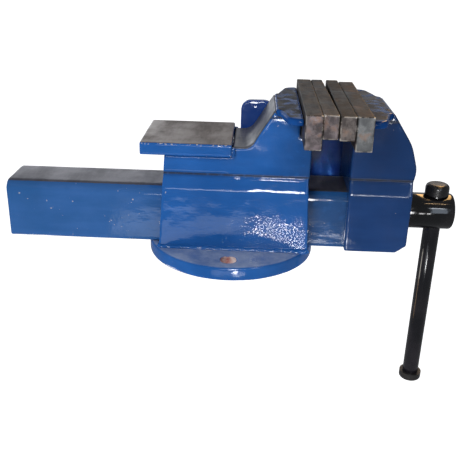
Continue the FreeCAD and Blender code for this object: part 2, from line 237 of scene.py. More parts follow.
class Finish:
    def __init__(self, name):
        self.material = bpy.data.materials.new(name)
        self.material.use_nodes = True
        self.nodes = self.material.node_tree.nodes
        self.links = self.material.node_tree.links
        self.nodes.clear()
        self.place = self.add("ShaderNodeTexCoord", output="Object")

    def add(self, kind, settings=None, *values, output=0, **named):
        node = self.nodes.new(kind)
        for key, value in (settings or {}).items():
            if key == "stops":
                self.setStops(node.color_ramp, value)
            else:
                setattr(node, key, value)
        for slot, value in [*enumerate(values), *named.items()]:
            socket = node.inputs[slot if isinstance(slot, int) else slot.replace("_", " ")]
            if isinstance(value, Reading):
                self.links.new(value.socket, socket)
            else:
                socket.default_value = value
        return Reading(self, node.outputs[output]) if node.outputs else None

    def setStops(self, ramp, stops):
        for i, (position, colour) in enumerate(stops):
            stop = ramp.elements[i] if i < 2 else ramp.elements.new(position)
            stop.position = position
            stop.color = (*colour, 1)

    def stretched(self, scale):
        return self.add("ShaderNodeMapping", None, Vector=self.place, Scale=scale)

    def noise(self, scale, detail=3.0, roughness=0.5, place=None):
        return self.add("ShaderNodeTexNoise", None, Vector=place or self.place, Scale=scale,
                        Detail=detail, Roughness=roughness)

    def ramp(self, reading, low, high, start=0.0, end=1.0):
        return self.add("ShaderNodeMapRange", {"interpolation_type": "SMOOTHSTEP"}, reading,
                        low, high, start, end)

    def mix(self, share, first, second):
        node = self.nodes.new("ShaderNodeMix")
        node.data_type = "RGBA"
        for socket, value in ((node.inputs["Factor"], share), (node.inputs[6], first),
                              (node.inputs[7], second)):
            if isinstance(value, Reading):
                self.links.new(value.socket, socket)
            else:
                socket.default_value = value if isinstance(value, float) else (*value, 1)
        return Reading(self, node.outputs[2])

    def bump(self, height, depth, normal=None):
        extra = {"Normal": normal} if normal else {}
        return self.add("ShaderNodeBump", None, Height=height, Distance=depth, Strength=1.0, **extra)

    def mark(self, name):
        return self.add("ShaderNodeAttribute", {"attribute_name": name}, output=2)

    def surface(self, **sockets):
        return self.add("ShaderNodeBsdfPrincipled", None, **sockets)

    def close(self, shader):
        self.add("ShaderNodeOutputMaterial", None, Surface=shader)
        return self.material


# near-black used both for dirt and for painted shade in hollows, creases and under parts
dirtAndShadeColour = (0.002, 0.006, 0.016)
chipColour = (0.5, 0.46, 0.41)
dustAndSheenColour = (0.33, 0.39, 0.52)
jawRust = (0.17, 0.09, 0.055)
steelRust = (0.16, 0.085, 0.05)
rubbedGlintSteel = (0.62, 0.58, 0.53)


def enamel(name, deep, bright, steelDark=(0.07, 0.062, 0.058), steelLight=(0.2, 0.178, 0.168), steelRough=0.4,
           peelDepth=0.00028, sagDepth=0.0008, chipFrom=0.60, speckFrom=0.78, shine=0.5):
    # thick brushed enamel: orange peel, soft sags, dirt and painted shade in hollows, pale chips, steel where
    # it's rubbed off.
    # The marks for dirt and painted shade, chips, dust with a painted sheen, bare and coarse come from
    # markVertices and are 0 on pieces without them.
    f = Finish(name)
    drift = f.noise(14.0, 4.0)
    strokes = f.noise(60.0, 3.0, place=f.stretched((0.25, 1.0, 1.6)))
    colour = f.mix(f.ramp(drift * 0.7 + strokes * 0.3, 0.35, 0.68), deep, bright)
    bend = f.add("ShaderNodeNewGeometry", output="Pointiness")
    # concave places found by pointiness are darkened as painted shade, and the marked dirt and painted shade
    # is added on top
    hollowShade = f.ramp(bend, 0.47, 0.40)
    grimeAndShade = (hollowShade * 0.7).larger(f.mark("grimeAndShade"))
    colour = f.mix(grimeAndShade * f.ramp(f.noise(150.0, 3.0), 0.25, 0.5, 0.55, 0.97), colour, dirtAndShadeColour)
    flake = f.ramp(f.noise(310.0, 4.0, 0.6), 0.55, 0.61)
    speck = f.ramp(f.noise(210.0, 2.0, 0.5), speckFrom, speckFrom + 0.02)
    edges = f.ramp(bend, chipFrom, chipFrom + 0.07).larger(f.mark("chips"))
    knocked = edges * flake * (1 - f.ramp(f.mark("grimeAndShade"), 0.02, 0.2))
    worn = knocked.larger(speck * 0.6)
    colour = f.mix(worn, colour, chipColour)
    # dust on up-facing faces, which also paints those tops lighter as a sheen
    dust = f.mark("dust") * f.ramp(f.noise(40.0, 5.0, 0.65), 0.3, 0.7, 0.35, 0.9)
    colour = f.mix(dust, colour, dustAndSheenColour)
    ragged = f.noise(75.0, 5.0, 0.65)
    bare = f.ramp(f.mark("bare") + ragged * 0.5, 0.66, 0.74)
    rubs = f.noise(26.0, 5.0, 0.6, place=f.stretched((1.0, 0.45, 1.0)))
    scuffs = f.noise(190.0, 4.0, 0.7, place=f.stretched((1.0, 0.2, 1.0)))
    steel = f.mix(f.ramp(rubs * 0.75 + scuffs * 0.25, 0.36, 0.62), steelDark, steelLight)
    colour = f.mix(bare, colour, steel)
    dull = worn * 0.3 + f.ramp(f.mark("grimeAndShade"), 0.4, 0.8) * 0.75
    paintRough = f.ramp(f.noise(35.0, 3.0), 0.3, 0.75, 0.05, 0.14) + dull
    steelGloss = f.ramp(rubs, 0.3, 0.7, steelRough + 0.1, steelRough - 0.08)
    rough = paintRough * (1 - bare) + steelGloss * bare
    peel = f.noise(400.0, 2.0, 0.45)
    sag = f.noise(60.0, 2.0, 0.4, place=f.stretched((0.7, 1.0, 1.4)))
    texture = 0.28 + f.mark("coarse") * 1.3
    skin = peel * (1 - bare) * texture + scuffs * bare * 0.5
    normal = f.bump(skin, peelDepth, f.bump(sag, sagDepth))
    return f.close(f.surface(Base_Color=colour, Metallic=bare * 0.6, Roughness=rough, Normal=normal,
                             Specular_IOR_Level=shine))


def workedSteel(name, dark, light, grainAlong, roughLow=0.32, roughHigh=0.55, metal=0.9):
    # machined steel or bronze: fine lines along the cut, stains and brown spots
    f = Finish(name)
    lines = f.noise(90.0, 5.0, 0.65, place=f.stretched(grainAlong))
    stain = f.noise(22.0, 4.0, 0.6)
    colour = f.mix(f.ramp(lines * 0.45 + stain * 0.55, 0.36, 0.64), dark, light)
    rust = f.ramp(f.noise(55.0, 5.0, 0.7), 0.62, 0.72)
    colour = f.mix(rust * 0.5, colour, steelRust)
    rough = f.ramp(lines * 0.5 + stain * 0.5, 0.3, 0.7, roughLow, roughHigh)
    return f.close(f.surface(Base_Color=colour, Metallic=metal, Roughness=rough,
                             Normal=f.bump(lines, 0.00012)))


def jawSteel(name, dark, light, litEndDark, litEndLight):
    # scaly brown-grey bar steel: mottled end faces painted lighter than the top as if lit, oily top, edges
    # rubbed bright in short dashes near the ends, which also serve as painted glints
    f = Finish(name)
    scale = f.noise(60.0, 6.0, 0.7)
    lines = f.noise(120.0, 5.0, 0.7, place=f.stretched((1.0, 0.18, 0.5)))
    top = f.mix(f.ramp(scale * 0.6 + lines * 0.4, 0.43, 0.58), dark, light)
    blotch = f.noise(95.0, 6.0, 0.7)
    # end faces take a lighter mottled colour, painted as if lit
    litEnds = f.mix(f.ramp(blotch, 0.38, 0.62), litEndDark, litEndLight)
    colour = f.mix(f.mark("litEnds"), top, litEnds)
    rust = f.ramp(f.noise(48.0, 5.0, 0.7), 0.54, 0.68)
    colour = f.mix(rust * 0.55, colour, jawRust)
    bend = f.add("ShaderNodeNewGeometry", output="Pointiness")
    dash = f.ramp(f.noise(130.0, 4.0, 0.6, place=f.stretched((1.0, 0.4, 1.0))), 0.45, 0.55)
    # sharp edges near the ends turn pale in dashes: rubbed bright steel, also painted as edge glints
    bright = f.ramp(bend, 0.51, 0.57) * dash * f.mark("rubbed")
    colour = f.mix(bright, colour, rubbedGlintSteel)
    rough = f.ramp(scale, 0.3, 0.7, 0.36, 0.6) - bright * 0.1
    height = lines * 0.6 + blotch * 0.4
    return f.close(f.surface(Base_Color=colour, Metallic=0.3 + bright * 0.5, Roughness=rough,
                             Specular_IOR_Level=0.18, Normal=f.bump(height, 0.0004)))


def blackPolish(name, dark, light, rough, metal, lumps=0.00003):
    # polished steel with faint turning lines and handling smears
    f = Finish(name)
    smear = f.noise(30.0, 3.0)
    dust = f.ramp(f.noise(240.0, 4.0, 0.7), 0.6, 0.75)
    colour = f.mix(f.ramp(smear + dust * 0.2, 0.35, 0.75), dark, light)
    return f.close(f.surface(Base_Color=colour, Metallic=metal,
                             Roughness=f.ramp(smear, 0.3, 0.7, rough, rough + 0.09) + dust * 0.08,
                             Normal=f.bump(f.noise(280.0, 2.0, 0.5), lumps)))


finishes = {
    "blue": enamel("blueEnamel", (0.006, 0.076, 0.285), (0.014, 0.106, 0.37),
                   (0.06, 0.07, 0.095), (0.17, 0.172, 0.19), peelDepth=0.00024, sagDepth=0.0003),
    # a darker copy of the blue enamel, painted shade for the moving jaw
    "shadedBlue": enamel("shadedBlueEnamel", (0.004, 0.029, 0.112), (0.008, 0.041, 0.152),
                   peelDepth=0.00020, sagDepth=0.0003, chipFrom=0.9),
    "shade": enamel("shadedEnamel", (0.014, 0.050, 0.23), (0.024, 0.075, 0.31),
                    peelDepth=0.00006, sagDepth=0.0005, chipFrom=0.66),
    "slide": enamel("slideEnamel", (0.015, 0.080, 0.24), (0.028, 0.106, 0.31),
                    (0.075, 0.077, 0.10), (0.13, 0.128, 0.155), 0.36, peelDepth=0.00016, sagDepth=0.0003,
                    speckFrom=0.73),
    "anvil": enamel("anvilPaint", (0.006, 0.074, 0.28), (0.013, 0.100, 0.35),
                    (0.10, 0.082, 0.076), (0.27, 0.235, 0.222), peelDepth=0.0003, chipFrom=0.52),
    "carrier": enamel("carrierPaint", (0.005, 0.040, 0.17), (0.009, 0.062, 0.24),
                      (0.006, 0.010, 0.022), (0.030, 0.027, 0.031), 0.42, peelDepth=0.0004,
                      chipFrom=0.9, shine=0.06),
    "fixedBar": jawSteel("fixedBarSteel", (0.010, 0.008, 0.007), (0.095, 0.082, 0.073),
                         (0.04, 0.033, 0.035), (0.125, 0.105, 0.11)),
    "movingBar": jawSteel("movingBarSteel", (0.004, 0.003, 0.003), (0.034, 0.026, 0.021),
                          (0.03, 0.024, 0.023), (0.11, 0.094, 0.088)),
    "greyBar": jawSteel("greyBarSteel", (0.005, 0.004, 0.004), (0.050, 0.038, 0.033),
                        (0.065, 0.068, 0.072), (0.13, 0.136, 0.138)),
    "primer": workedSteel("redPrimer", (0.24, 0.035, 0.03), (0.62, 0.55, 0.53), (1.4, 1.4, 1.4),
                          roughLow=0.5, roughHigh=0.7, metal=0.0),
    "bronze": workedSteel("bronze", (0.35, 0.2, 0.07), (0.55, 0.36, 0.14), (1.0, 1.0, 1.0)),
    "turned": workedSteel("turnedSteel", (0.3, 0.3, 0.31), (0.5, 0.5, 0.5), (8.0, 1.0, 1.0),
                          roughLow=0.2, roughHigh=0.4),
    "rod": blackPolish("rodPolish", (0.004, 0.004, 0.006), (0.014, 0.012, 0.016), 0.07, 0.0),
    "black": blackPolish("blackPolish", (0.003, 0.003, 0.004), (0.010, 0.009, 0.010), 0.06, 0.0, 0.00004),
    "knob": blackPolish("knobSteel", (0.010, 0.010, 0.011), (0.028, 0.026, 0.026), 0.22, 0.2),
}


def paint(piece, finish):
    piece.data.materials.clear()
    piece.data.materials.append(finishes[finish])


fixedBody, movingBody, screwBody, handleBody = "fixed_body", "moving_jaw", "main_screw", "handle"
baseLow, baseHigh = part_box("base_flange")
housingLow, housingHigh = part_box("slide_housing")
neckLow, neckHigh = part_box("fixed_jaw_neck")
slideLow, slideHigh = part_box("slide_bar")
moverLow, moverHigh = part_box("moving_jaw_base")
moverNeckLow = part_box("moving_jaw_neck")[0]
carrierLow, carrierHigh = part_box("fixed_jaw_carrier")
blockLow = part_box("fixed_jaw_block")[0]
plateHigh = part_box("fixed_jaw_plate")[1]
anvilLow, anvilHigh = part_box("anvil_plate")
headLow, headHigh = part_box("screw_head")
barLow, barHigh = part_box("handle_bar")
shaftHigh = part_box("screw_shaft")[1]
closingX = (plateHigh.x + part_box("moving_jaw_plate")[0].x) / 2
screwZ = (headLow.z + headHigh.z) / 2
creaseZ = neckLow.z
neckHalf = neckHigh.y
joinDepth = 3 * mm  # shells that become one casting run into each other by this much
overrun = 10 * mm   # blanks and cutters run past the part by once or twice this much


def onBothSides(halfOutline):
    return halfOutline + [(-a, b, r) for a, b, r in reversed(halfOutline)]


# fixed jaw casting: sleeve round the slide, web and neck

shoulder = {"leanStart": 90 * mm, "leanDrop": 2.6 * mm, "leanOut": 1.5 * mm, "leanRound": 2.4 * mm,
            "belly": 12 * mm, "creaseRound": 0.8 * mm}


def shoulderOutline(half, bottom, top, nick):
    # upright side, leaning shoulder, nick at the crease, then the narrower web
    return onBothSides([
        (half, bottom, 0),
        (half, shoulder["leanStart"], shoulder["belly"]),
        (neckHalf + shoulder["leanOut"], creaseZ - shoulder["leanDrop"], shoulder["leanRound"]),
        (neckHalf - nick, creaseZ, shoulder["creaseRound"]),
        (neckHalf, creaseZ + shoulder["leanDrop"], 0),
        (neckHalf, top, 0),
    ])


castingDirtAndShade = {"inside": 6 * mm, "creaseRise": 0.4 * mm, "creaseWidth": 1.5 * mm, "carrierDrop": 1 * mm,
               "carrierWidth": 2 * mm, "carrierShare": 0.8, "barNear": 0.5 * mm, "barFar": 4 * mm,
               "barEnd": 5 * mm, "darkerTowardJawRise": 3 * mm, "darkerTowardJawFrom": 40 * mm, "darkerTowardJawTo": 80 * mm,
               "darkerTowardJawShare": 0.38}


def castingGrimeAndShade(place, normal):
    # darkens the crease with dirt and painted shade, paints shadow under the carriers and round the outer
    # bars, and darkens the neck towards the jaw
    v = castingDirtAndShade
    if abs(place.y) < neckHalf - v["inside"]:
        return 0.0
    crease = math.exp(-((place.z - creaseZ - v["creaseRise"]) / v["creaseWidth"]) ** 2)
    shadowUnderCarrier = math.exp(-((place.z - carrierLow.z + v["carrierDrop"]) / v["carrierWidth"]) ** 2)
    reach = abs(place.x - closingX) - (closingX - blockLow.x)
    drop = blockLow.z - place.z
    shadowBesideBar = 0.0
    if reach < v["barEnd"] and drop < v["barEnd"]:
        shadowBesideBar = 1 - fade(max(reach, drop), v["barNear"], v["barFar"])
    darkerTowardJaw = 0.0
    if creaseZ + v["darkerTowardJawRise"] < place.z and place.x < closingX:
        darkerTowardJaw = v["darkerTowardJawShare"] * fade(place.x, v["darkerTowardJawFrom"], v["darkerTowardJawTo"])
    return max(crease, shadowUnderCarrier * v["carrierShare"], shadowBesideBar, darkerTowardJaw)


def slideOutline(grow):
    half = slideHigh.y + grow
    return onBothSides([(half, slideLow.z - grow, 0), (half, slideHigh.z + grow, slide["corner"] + grow)])


def slideCutter(low, high, grow):
    return traceOutline("slideCutter", slideOutline(grow), lambda a, b: (low, a, b), (high - low, 0, 0))


fixedCast = {"nick": 1.7 * mm, "rearLean": 7.0 * mm, "frontLean": 5.2 * mm, "intoFoot": 3 * mm,
             "edge": 2.4 * mm, "grain": 1.4 * mm, "sag": 0.9 * mm, "sagSize": 30 * mm, "slopeTopX": 46.1 * mm,
             "flatZ": 139.7 * mm, "slopeFootX": 19.9 * mm, "flatRadius": 14 * mm, "slopeBack": 4 * mm,
             "underAnvil": 1 * mm, "heelBack": 6 * mm, "heelDrop": 4 * mm, "intoCarrier": 1 * mm,
             "boreGap": 1.0 * mm, "floorDrop": 5 * mm, "rubFrom": 4 * mm, "rubFull": 1 * mm,
             "rubBehind": 2 * mm, "coarseLow": 42 * mm, "coarseHigh": 72 * mm, "coarseFront": 40 * mm}


def makeFixedCasting():
    v = fixedCast
    low, high = housingLow, housingHigh
    bottom = low.z - v["intoFoot"]
    sleeve = traceOutline("fixed_jaw_casting",
                          shoulderOutline(high.y, bottom, high.z - v["underAnvil"], v["nick"]),
                          lambda a, b: (low.x - overrun, a, b), (high.x - low.x + 2 * overrun, 0, 0))
    tall = high.z - low.z
    cut(sleeve, (low.x, 0, low.z), (-tall, 0, v["rearLean"]))
    cut(sleeve, (high.x, 0, low.z), (tall, 0, v["frontLean"]))
    easeEdges(sleeve, v["edge"], angle=50)
    neckFoot = creaseZ - joinDepth
    ledgeZ = carrierLow.z + v["intoCarrier"]
    neck = traceOutline("neck", [
        (neckLow.x - v["heelBack"], neckFoot, 0),
        (neckLow.x - v["heelBack"], high.z - v["heelDrop"], 0),
        (neckLow.x, high.z - v["heelDrop"], 0),
        (neckLow.x, v["flatZ"], 0),
        (v["slopeFootX"], v["flatZ"], v["flatRadius"]),
        (v["slopeTopX"], carrierHigh.z, 0),
        (v["slopeTopX"] + v["slopeBack"], ledgeZ, 0),
        (blockLow.x, ledgeZ, 0),
        (blockLow.x, blockLow.z, 0),
        (neckHigh.x, blockLow.z, 0),
        (neckHigh.x, neckFoot, 0),
    ], lambda a, b: (a, -neckHalf, b), (0, 2 * neckHalf, 0))
    easeEdges(neck, v["edge"], angle=50)
    boreHalf = slideHigh.y + v["boreGap"]
    cutAway(sleeve, slideCutter(low.x - 2 * overrun, high.x + 2 * overrun, v["boreGap"]))
    cutAway(sleeve, addBlock("floorCutter", (low.x - 2 * overrun, -boreHalf, bottom - v["floorDrop"]),
                             (high.x + 2 * overrun, boreHalf, slideLow.z)))
    makeActive(sleeve)
    neck.select_set(True)
    bpy.ops.object.join()
    dip(sleeve, v["grain"], v["sag"], v["sagSize"], seed=0.31)
    # dirt and painted shade in the crease, painted shadow under the carriers and beside the bars
    markVertices(sleeve, "grimeAndShade", castingGrimeAndShade)
    markVertices(sleeve, "bare", lambda place, normal: fade(normal.z, 0.2, 0.45)
                 * fade(place.z, v["flatZ"] - v["rubFrom"], v["flatZ"] - v["rubFull"])
                 * fade(place.x, anvilHigh.x, anvilHigh.x + v["rubBehind"]))
    # the brush left a coarser skin low down towards the front
    markVertices(sleeve, "coarse", lambda place, normal: (1 - fade(place.z, v["coarseLow"], v["coarseHigh"]))
                 * fade(place.x, 0, v["coarseFront"]))
    paint(sleeve, "blue")
    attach(sleeve, fixedBody)
    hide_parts("slide_housing", "fixed_jaw_neck")
    print("fixed jaw casting:", len(sleeve.data.polygons), "faces")


# round foot

foot = {"edge": 2.2 * mm, "holeRadius": 9 * mm, "holeY": 78 * mm, "grain": 1.5 * mm, "sag": 0.5 * mm,
        "sagSize": 35 * mm, "boltX": (24 * mm, 50 * mm), "boltPocket": 9.5 * mm, "pocketTop": 9 * mm,
        "boltShank": 6.3 * mm, "wallReach": 0.6 * mm}


def drill(piece, radius, x, y, top):
    cutAway(piece, addRound("drill", radius, (x, y, baseLow.z - overrun), (x, y, top), "Z"))


def makeFoot():
    v = foot
    above = baseHigh.z + overrun
    disc = addRound("base_flange_plate", baseHigh.x, (0, 0, baseLow.z), (0, 0, baseHigh.z), "Z", sides=160)
    easeEdges(disc, v["edge"], angle=50)
    for side in (-1, 1):
        drill(disc, v["holeRadius"], 0, side * v["holeY"], above)
    for x in v["boltX"]:
        drill(disc, v["boltPocket"], x, 0, v["pocketTop"])
        drill(disc, v["boltShank"], x, 0, above)
    dip(disc, v["grain"], v["sag"], v["sagSize"], seed=0.77)
    # up-facing faces get dust and are painted lighter as a sheen
    markVertices(disc, "dust", lambda place, normal: fade(normal.z, 0.8, 0.98))
    paint(disc, "blue")
    # the walls of the two bolt holes are rubbed down to primer and steel
    disc.data.materials.append(finishes["primer"])
    for face in disc.data.polygons:
        reach = min((face.center.xy - Vector((0, side * v["holeY"]))).length for side in (-1, 1))
        if reach < v["holeRadius"] + v["wallReach"] and abs(face.normal.z) < 0.6:
            face.material_index = 1
    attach(disc, fixedBody)
    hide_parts("base_flange")
    print("foot:", len(disc.data.polygons), "faces")


# slide

slide = {"wall": 8 * mm, "corner": 12 * mm, "innerCorner": 5 * mm, "edge": 1.2 * mm, "grain": 1.5 * mm,
         "sag": 0.45 * mm, "sagSize": 45 * mm, "rubFrom": 3 * mm, "rubFull": 1 * mm, "dirtAndShade": 0.34,
         "dirtAndShadeFrom": 14 * mm, "dirtAndShadeFull": 2 * mm}


def makeSlide():
    v = slide
    inner = slideHigh.y - v["wall"]
    ceiling = slideHigh.z - v["wall"]
    bar = traceOutline("slide_bar_channel", [
        (slideHigh.y, slideLow.z, 0), (slideHigh.y, slideHigh.z, v["corner"]),
        (-slideHigh.y, slideHigh.z, v["corner"]), (-slideHigh.y, slideLow.z, 0),
        (-inner, slideLow.z, 0), (-inner, ceiling, v["innerCorner"]),
        (inner, ceiling, v["innerCorner"]), (inner, slideLow.z, 0),
    ], lambda a, b: (slideLow.x, a, b), (slideHigh.x - slideLow.x, 0, 0))
    easeEdges(bar, v["edge"], angle=60)
    dip(bar, v["grain"], v["sag"], v["sagSize"], seed=1.9)
    markVertices(bar, "bare", lambda place, normal: fade(normal.z, 0.82, 0.99)
                 * fade(place.z, slideHigh.z - v["rubFrom"], slideHigh.z - v["rubFull"]))
    # the sides are darkened with dirt and painted shade where the slide comes out of the housing's front
    markVertices(bar, "grimeAndShade", lambda place, normal: v["dirtAndShade"] * fade(abs(normal.y), 0.5, 0.9)
                 * fade(place.x, housingHigh.x - v["dirtAndShadeFrom"], housingHigh.x - v["dirtAndShadeFull"]))
    paint(bar, "slide")
    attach(bar, movingBody)
    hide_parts("slide_bar")
    print("slide:", len(bar.data.polygons), "faces")


# moving jaw casting

movingCast = {"nick": 0.7 * mm, "edge": 2.4 * mm, "chamferLong": 12 * mm, "chamferTall": 9 * mm,
              "grain": 1.4 * mm, "sag": 0.5 * mm, "sagSize": 34 * mm, "inset": 0.4 * mm,
              "aboveCrease": 4 * mm, "upper": (-5.5 * mm, 147 * mm), "upperRound": 50 * mm,
              "lower": (3 * mm, 118 * mm), "lowerRound": 30 * mm, "bushHole": 20 * mm, "bushOverlap": 5 * mm}


def makeMovingCasting():
    v = movingCast
    low, high = moverLow, moverHigh
    bottom = low.z + v["inset"]
    rear = low.x + v["inset"]
    lower = traceOutline("moving_jaw_casting",
                         shoulderOutline(housingHigh.y, bottom, creaseZ + v["aboveCrease"], v["nick"]),
                         lambda a, b: (rear, a, b), (high.x - rear, 0, 0))
    cut(lower, (high.x, 0, bottom + v["chamferTall"]), (v["chamferTall"], 0, -v["chamferLong"]))
    easeEdges(lower, v["edge"], angle=35)
    slopeTop = 2 * closingX - fixedCast["slopeTopX"]
    blockBack = 2 * closingX - blockLow.x
    neckFoot = creaseZ - joinDepth
    ledgeZ = carrierLow.z + fixedCast["intoCarrier"]
    neck = traceOutline("neck", [
        (moverNeckLow.x, neckFoot, 0),
        (moverNeckLow.x, blockLow.z, 0),
        (blockBack, blockLow.z, 0),
        (blockBack, ledgeZ, 0),
        (slopeTop - fixedCast["slopeBack"], ledgeZ, 0),
        (slopeTop, carrierHigh.z, 0),
        (high.x + v["upper"][0], v["upper"][1], v["upperRound"]),
        (high.x + v["lower"][0], v["lower"][1], v["lowerRound"]),
        (high.x, neckFoot, 0),
    ], lambda a, b: (a, -neckHalf, b), (0, 2 * neckHalf, 0))
    easeEdges(neck, v["edge"], angle=50)
    cutAway(lower, slideCutter(low.x - 2 * overrun, slideHigh.x, 0.0))
    cutAway(lower, addBlock("slotCutter", (low.x - 2 * overrun, -slideHigh.y, low.z - overrun),
                            (slideHigh.x, slideHigh.y, slideLow.z + overrun)))
    cutAway(lower, addRound("bushCutter", v["bushHole"], (slideHigh.x - v["bushOverlap"], 0, screwZ),
                            (high.x + 2 * overrun, 0, screwZ), "X"))
    makeActive(lower)
    neck.select_set(True)
    bpy.ops.object.join()
    dip(lower, v["grain"], v["sag"], v["sagSize"], seed=2.6)
    # dirt and painted shade in the crease, painted shadow under the carriers and beside the bars
    markVertices(lower, "grimeAndShade", castingGrimeAndShade)
    # the moving jaw takes the darker copy of the blue enamel as painted shade
    paint(lower, "shadedBlue")
    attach(lower, movingBody)
    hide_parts("moving_jaw_base", "moving_jaw_neck")
    print("moving jaw casting:", len(lower.data.polygons), "faces")


# lobed carriers behind the jaws, and the plate on the far side

carrier = {"back": 35 * mm, "lobeHalf": 86 * mm, "backFlare": 0.5 * mm, "shoulderIn": 14 * mm,
           "shoulderRound": 12 * mm, "waistIn": 3.9 * mm, "waistOut": 1 * mm, "waistRound": 3 * mm,
           "tailIn": 1.5 * mm, "edge": 2.8 * mm, "grain": 1.1 * mm, "sag": 0.7 * mm, "sagSize": 20 * mm,
           "rim": 1.4 * mm, "rubFrom": 1 * mm, "lobeEnd": (9 * mm, 3 * mm), "rubbed": 0.47}


def jawX(side, distance):
    return closingX + side * distance


def makeCarrier(side, body, node):
    v = carrier
    rear = closingX - fixedCast["slopeTopX"]
    half = [
        (v["back"], v["lobeHalf"] + v["backFlare"], 0),
        (rear - v["shoulderIn"], v["lobeHalf"], v["shoulderRound"]),
        (rear - v["waistIn"], neckHalf + v["waistOut"], v["waistRound"]),
        (rear, neckHalf - v["tailIn"], 0),
    ]
    corners = half + [(a, -b, r) for a, b, r in reversed(half)]
    placed = [(jawX(side, a), b, r) for a, b, r in corners]
    plate = traceOutline(node + "_plate", placed, lambda a, b: (a, b, carrierLow.z),
                         (0, 0, carrierHigh.z - carrierLow.z))
    easeEdges(plate, v["edge"], angle=50)
    dip(plate, v["grain"], v["sag"], v["sagSize"], seed=3.3 + side, rounds=3)
    # the flat top is rubbed thin, but not the ends of the lobes
    rim = carrierHigh.z - v["rim"]
    lobeFrom, lobeTo = (v["lobeHalf"] - short for short in v["lobeEnd"])
    markVertices(plate, "bare", lambda place, normal: fade(normal.z, 0.8, 0.99)
                 * fade(place.z, rim - v["rubFrom"], rim)
                 * (1 - fade(abs(place.y), lobeFrom, lobeTo)) * v["rubbed"])
    paint(plate, "carrier")
    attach(plate, body)
    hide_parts(node)
    print(node + ":", len(plate.data.polygons), "faces")


sidePlate = {"edge": 1.6 * mm, "chamfer": 5 * mm, "relief": 1.5 * mm, "stepZ": 138 * mm, "shelfX": 42 * mm,
             "slopeFootX": 64 * mm, "footCorner": 8 * mm, "frontCorner": 10 * mm, "rearCorner": 12 * mm,
             "slopeCorner": 14 * mm, "reliefOver": 5 * mm, "grain": 1.2 * mm, "sag": 0.7 * mm,
             "sagSize": 25 * mm}


def makeSidePlate():
    v = sidePlate
    low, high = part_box("side_plate")
    plate = traceOutline("side_plate_slab", [
        (low.x, low.z, v["footCorner"]), (low.x, high.z, v["rearCorner"]),
        (v["shelfX"], high.z, v["slopeCorner"]), (v["slopeFootX"], v["stepZ"], v["slopeCorner"]),
        (high.x, v["stepZ"], v["frontCorner"]), (high.x, low.z, v["footCorner"]),
    ], lambda a, b: (a, low.y, b), (0, high.y - low.y, 0))
    nearY = low.y + v["relief"]
    # forward of the housing the near face stands back
    cutAway(plate, addBlock("reliefCutter", (housingHigh.x, low.y - v["reliefOver"], 0),
                            (high.x + v["reliefOver"], nearY, high.z)))
    cut(plate, (high.x - v["chamfer"], nearY, 0), (1, -1, 0))
    easeEdges(plate, v["edge"], angle=40)
    dip(plate, v["grain"], v["sag"], v["sagSize"], seed=4.1)
    paint(plate, "shade")
    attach(plate, fixedBody)
    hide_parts("side_plate")
    print("side plate:", len(plate.data.polygons), "faces")


# weld beads

bead = {"radius": 3.4 * mm, "sides": 16, "grain": 0.9 * mm, "sag": 2.2 * mm, "ripple": 6 * mm,
        "rise": 0.6 * mm, "out": 0.2 * mm, "endIn": 1 * mm, "slideGap": 4 * mm, "besideNeck": 0.5 * mm,
        "anvilX": 1 * mm, "anvilFrom": 1 * mm, "anvilTo": 4 * mm}


def makeBead(name, runs, finish):
    # each run is a rod; the rods flow into one lumpy bead
    v = bead
    rods = [addRound(name, v["radius"], start, end, axis, v["sides"]) for start, end, axis in runs]
    makeActive(rods[0])
    for rod in rods[1:]:
        rod.select_set(True)
    bpy.ops.object.join()
    dip(rods[0], v["grain"], v["sag"], v["ripple"], seed=5.5)
    paint(rods[0], finish)
    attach(rods[0], fixedBody)
    print(name + ":", len(rods[0].data.polygons), "faces")


def makeWelds():
    v = bead
    z = housingLow.z + v["rise"]
    y = housingHigh.y + v["out"]
    rear, front = housingLow.x + v["endIn"], housingHigh.x - v["endIn"]
    inner = slideHigh.y + v["slideGap"]
    runs = []
    for side in (-1, 1):
        runs.append(((rear, side * y, z), (front, side * y, z), "X"))
        for x in (rear, front):
            runs.append(((x, side * inner, z), (x, side * y, z), "Y"))
    makeBead("foot_weld", runs, "blue")
    runs = []
    for side in (-1, 1):
        y = side * (neckHalf + v["besideNeck"])
        runs.append(((v["anvilX"], y, anvilLow.z - v["anvilFrom"]),
                     (v["anvilX"], y, anvilHigh.z - v["anvilTo"]), "Z"))
    makeBead("anvil_weld", runs, "blue")


# anvil plate and jaw bars

anvil = {"edge": 1.1 * mm, "grain": 1.2 * mm, "sag": 0.35 * mm, "sagSize": 30 * mm,
         "rubFrom": 2 * mm, "rubFull": 0.9 * mm, "chipLow": 2.6 * mm, "chipTop": 1.2 * mm,
         "chipIn": (-1.4 * mm, -0.5 * mm)}


def makeAnvil():
    v = anvil
    plate = addBlock("anvil_plate_slab", anvilLow, anvilHigh)
    easeEdges(plate, v["edge"], segments=3, angle=50)
    dip(plate, v["grain"], v["sag"], v["sagSize"], seed=6.2, rounds=2)
    markVertices(plate, "bare", lambda place, normal: fade(normal.z, 0.6, 0.95)
                 * fade(place.z, anvilHigh.z - v["rubFrom"], anvilHigh.z - v["rubFull"]))
    # the top edges are chipped on three sides
    markVertices(plate, "chips", lambda place, normal:
                 fade(place.z, anvilHigh.z - v["chipLow"], anvilHigh.z - v["chipTop"])
                 * fade(max(abs(place.y) - anvilHigh.y, anvilLow.x - place.x), *v["chipIn"]))
    paint(plate, "anvil")
    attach(plate, fixedBody)
    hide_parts("anvil_plate")
    print("anvil plate:", len(plate.data.polygons), "faces")


